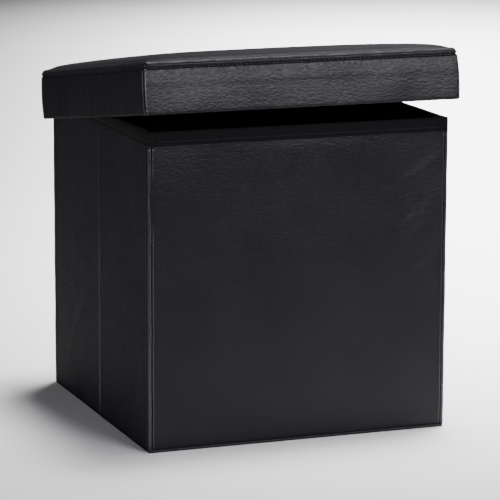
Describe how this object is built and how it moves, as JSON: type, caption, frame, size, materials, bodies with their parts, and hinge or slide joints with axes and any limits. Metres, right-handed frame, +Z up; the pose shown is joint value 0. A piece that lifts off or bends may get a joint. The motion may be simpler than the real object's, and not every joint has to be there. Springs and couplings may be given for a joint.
{
  "type": "storage ottoman",
  "caption": "Square folding storage ottoman with stiff faux-leather walls, an open storage space and a padded lift-off lid standing ajar.",
  "frame": {"origin": "middle of the box's footprint, on the floor", "axes": "+X towards the right of someone facing the front, +Y from the front towards the rear, +Z up"},
  "size_m": [0.3951, 0.3992, 0.464],
  "materials": {
    "faux_leather": "soft sheen, fine grain",
    "rim_tape": "matte non-woven",
    "lining": "matte non-woven",
    "ribbon": "woven",
    "bottom_sheet": "matte non-woven",
    "base_board": "fibreboard faced in black non-woven",
    "board": "raw fibreboard",
    "foam": "open-cell foam"
  },
  "bodies": {
    "rear_wall": {"rear_cover": "faux_leather", "rear_board": "board", "rear_lining": "lining", "rear_rim_tape": "rim_tape", "bottom_sheet": "bottom_sheet", "bottom_hem": "faux_leather", "base_board": "base_board", "base_pull_tab": "ribbon"},
    "left_rear_half": {"left_rear_cover": "faux_leather", "left_rear_board": "board", "left_rear_lining": "lining", "left_rear_rim_tape": "rim_tape"},
    "left_front_half": {"left_front_cover": "faux_leather", "left_front_board": "board", "left_front_lining": "lining", "left_front_rim_tape": "rim_tape"},
    "right_rear_half": {"right_rear_cover": "faux_leather", "right_rear_board": "board", "right_rear_lining": "lining", "right_rear_rim_tape": "rim_tape"},
    "right_front_half": {"right_front_cover": "faux_leather", "right_front_board": "board", "right_front_lining": "lining", "right_front_rim_tape": "rim_tape"},
    "front_wall": {"front_cover": "faux_leather", "front_board": "board", "front_lining": "lining", "front_rim_tape": "rim_tape"},
    "lid": {"lid_front_cover": "faux_leather", "lid_front_skirt_board": "board", "lid_front_skirt_lining": "lining", "lid_rear_cover": "faux_leather", "lid_rear_skirt_board": "board", "lid_rear_skirt_lining": "lining", "lid_left_cover": "faux_leather", "lid_left_skirt_board": "board", "lid_left_skirt_lining": "lining", "lid_right_cover": "faux_leather", "lid_right_skirt_board": "board", "lid_right_skirt_lining": "lining", "lid_lining": "lining", "lid_board": "board", "lid_foam": "foam", "lid_top_cover": "faux_leather", "lid_seam_band": "faux_leather"}
  },
  "joints": [
    {"name": "wall_fold", "type": "hinge", "parent": "rear_wall", "child": "left_rear_half", "pos_m": [-0.1797, 0.1794, 0], "axis": [0, 0, 1], "range_deg": [0, 87]},
    {"name": "left_crease", "type": "hinge", "parent": "left_rear_half", "child": "left_front_half", "pos_m": [-0.18565, 0, 0], "axis": [0, 0, 1], "range_deg": [-174, 0]},
    {"name": "front_left_corner", "type": "hinge", "parent": "left_front_half", "child": "front_wall", "pos_m": [-0.1797, -0.1794, 0], "axis": [0, 0, 1], "range_deg": [0, 87]},
    {"name": "rear_right_corner", "type": "hinge", "parent": "rear_wall", "child": "right_rear_half", "pos_m": [0.1797, 0.1794, 0], "axis": [0, 0, -1], "range_deg": [0, 87]},
    {"name": "right_crease", "type": "hinge", "parent": "right_rear_half", "child": "right_front_half", "pos_m": [0.18565, 0, 0], "axis": [0, 0, -1], "range_deg": [-174, 0]},
    {"name": "lid_tilt", "type": "hinge", "parent": "rear_wall", "child": "lid", "pos_m": [-0.002, 0.1889, 0.337], "axis": [-0.9999, -0.0157, 0], "range_deg": [-8.6, 75]}
  ],
  "couplings": [
    {"joint": "left_crease", "follows": "wall_fold", "ratio": -2},
    {"joint": "front_left_corner", "follows": "wall_fold", "ratio": 1},
    {"joint": "rear_right_corner", "follows": "wall_fold", "ratio": 1},
    {"joint": "right_crease", "follows": "wall_fold", "ratio": -2}
  ]
}
